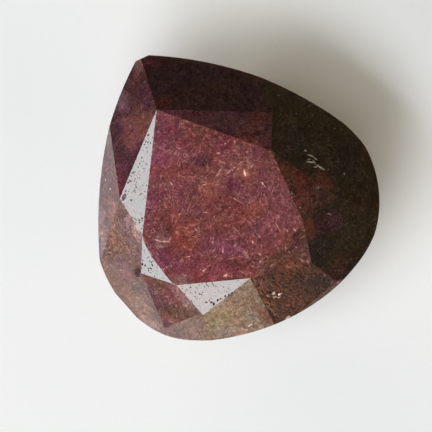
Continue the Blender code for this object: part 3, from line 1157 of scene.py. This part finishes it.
# A wide soft window on the stone's left and weaker light low down all round the room. Each lamp:
# azimuth and elevation in degrees, width and height in m, radiance, colour, what it reaches.
studio = {
    "distance": 1.2,  # m from the stone to every lamp
    "lamps": {
        "window": (194.5, 47.7, 1.45, 0.46, 5.9, "#eef4ff", "body"),
        "windowGlare": (190.0, 45.5, 1.6, 0.8, 6.5, "#f3ffff", "gloss"),
        "windowFoot": (194.7, 9.9, 0.89, 0.22, 29.0, "#fdfeff", "body"),
        "ceiling": (190.0, 82.0, 1.0, 0.8, 1.0, "#fffdf8", "body"),
        "farWall": (88.0, 10.0, 1.2, 0.3, 7.0, "#fff7e2", "body"),
        "nearWall": (302.0, 10.0, 1.4, 0.3, 6.6, "#fff2d4", "body"),
        "rightWall": (18.0, 9.0, 1.8, 0.26, 3.6, "#fff2c8", "body"),
    },
    "backdrop": "#d8d6d2",
    "darkCard": (26.0, 45.0, 60.0, 30.0),  # azimuth, and distance, width and height in mm
    "cardColour": "#050505",
}


def buildLight():
    for name, (azimuth, elevation, width, height, radiance, colour, reach) in studio["lamps"].items():
        light = bpy.data.lights.new(name, "AREA")
        light.shape = "RECTANGLE"
        light.size = width
        light.size_y = height
        light.energy = math.pi * width * height * radiance
        light.color = srgbToLinear(colour)[:3]
        lamp = bpy.data.objects.new(name, light)
        lamp.visible_camera = False
        lamp.visible_glossy = reach == "gloss"
        lamp.visible_diffuse = reach != "gloss"
        bpy.context.scene.collection.objects.link(lamp)
        towards = direction(azimuth, 90 - elevation)
        lamp.location = towards * studio["distance"]
        lamp.rotation_euler = towards.to_track_quat("Z", "Y").to_euler()
    room = bpy.data.worlds.new("paleBackdrop")
    room.use_nodes = True
    background = room.node_tree.nodes["Background"]
    background.inputs["Color"].default_value = srgbToLinear(studio["backdrop"])
    room.cycles_visibility.diffuse = False
    room.cycles_visibility.glossy = False
    bpy.context.scene.world = room
    bpy.context.scene.view_settings.view_transform = "Standard"
    print("light:", len(studio["lamps"]), "lamps set up")


def buildDarkCard():
    # a black card that only the polished facets see, in place of the dark half of a room
    azimuth, distance, width, height = studio["darkCard"]
    outward = direction(azimuth, 90)
    across = Vector((-outward.y, outward.x, 0))
    foot = outward * distance
    corners = [
        foot - across * width / 2,
        foot + across * width / 2,
        foot + across * width / 2 + Vector((0, 0, height)),
        foot - across * width / 2 + Vector((0, 0, height)),
    ]
    mesh = bpy.data.meshes.new("darkCard")
    mesh.from_pydata([corner * mm for corner in corners], [], [(0, 1, 2, 3)])
    card = bpy.data.objects.new("darkCard", mesh)
    bpy.context.scene.collection.objects.link(card)
    material = bpy.data.materials.new("black velvet card")
    material.use_nodes = True
    shader = material.node_tree.nodes["Principled BSDF"]
    shader.inputs["Base Color"].default_value = srgbToLinear(studio["cardColour"])
    shader.inputs["Roughness"].default_value = 1.0
    mesh.materials.append(material)
    card.visible_camera = False
    card.visible_diffuse = False
    card.visible_shadow = False
    print("light: dark card set up")


# The photograph looks down from 11 degrees off vertical through a long lens
view = {
    "lean": 11.0,
    "turnRight": 0.857,  # how far the picture's right runs along the stone's +X, and its up along +Y
    "turnUp": 0.515,
    "aim": (-0.92, -1.437, 4.5),  # mm, what sits at the middle of the picture
    "width": 25.92,  # mm of the stone's level across the picture
    "distance": 0.6,  # m
    "sensorWidth": 36.0,  # mm
    "nearest": 0.01,  # m; nothing nearer to the camera is drawn
}


def buildCamera():
    lean = math.radians(view["lean"])
    back = Vector((math.sin(lean), 0, math.cos(lean)))
    across = Vector((math.cos(lean), 0, -math.sin(lean)))
    right = (across * view["turnRight"] + Vector((0, -view["turnUp"], 0))).normalized()
    up = back.cross(right)
    lens = bpy.data.cameras.new("camera")
    lens.sensor_width = view["sensorWidth"]
    lens.lens = lens.sensor_width * view["distance"] / (view["width"] * mm)
    lens.clip_start = view["nearest"]
    camera = bpy.data.objects.new("camera", lens)
    bpy.context.scene.collection.objects.link(camera)
    turn = Matrix((right, up, back)).transposed().to_4x4()
    place = Vector(view["aim"]) * mm + back * view["distance"]
    camera.matrix_world = Matrix.Translation(place) @ turn
    bpy.context.scene.camera = camera
    print("camera: set up")


buildStone()
buildPaper()
buildLight()
buildDarkCard()
buildCamera()
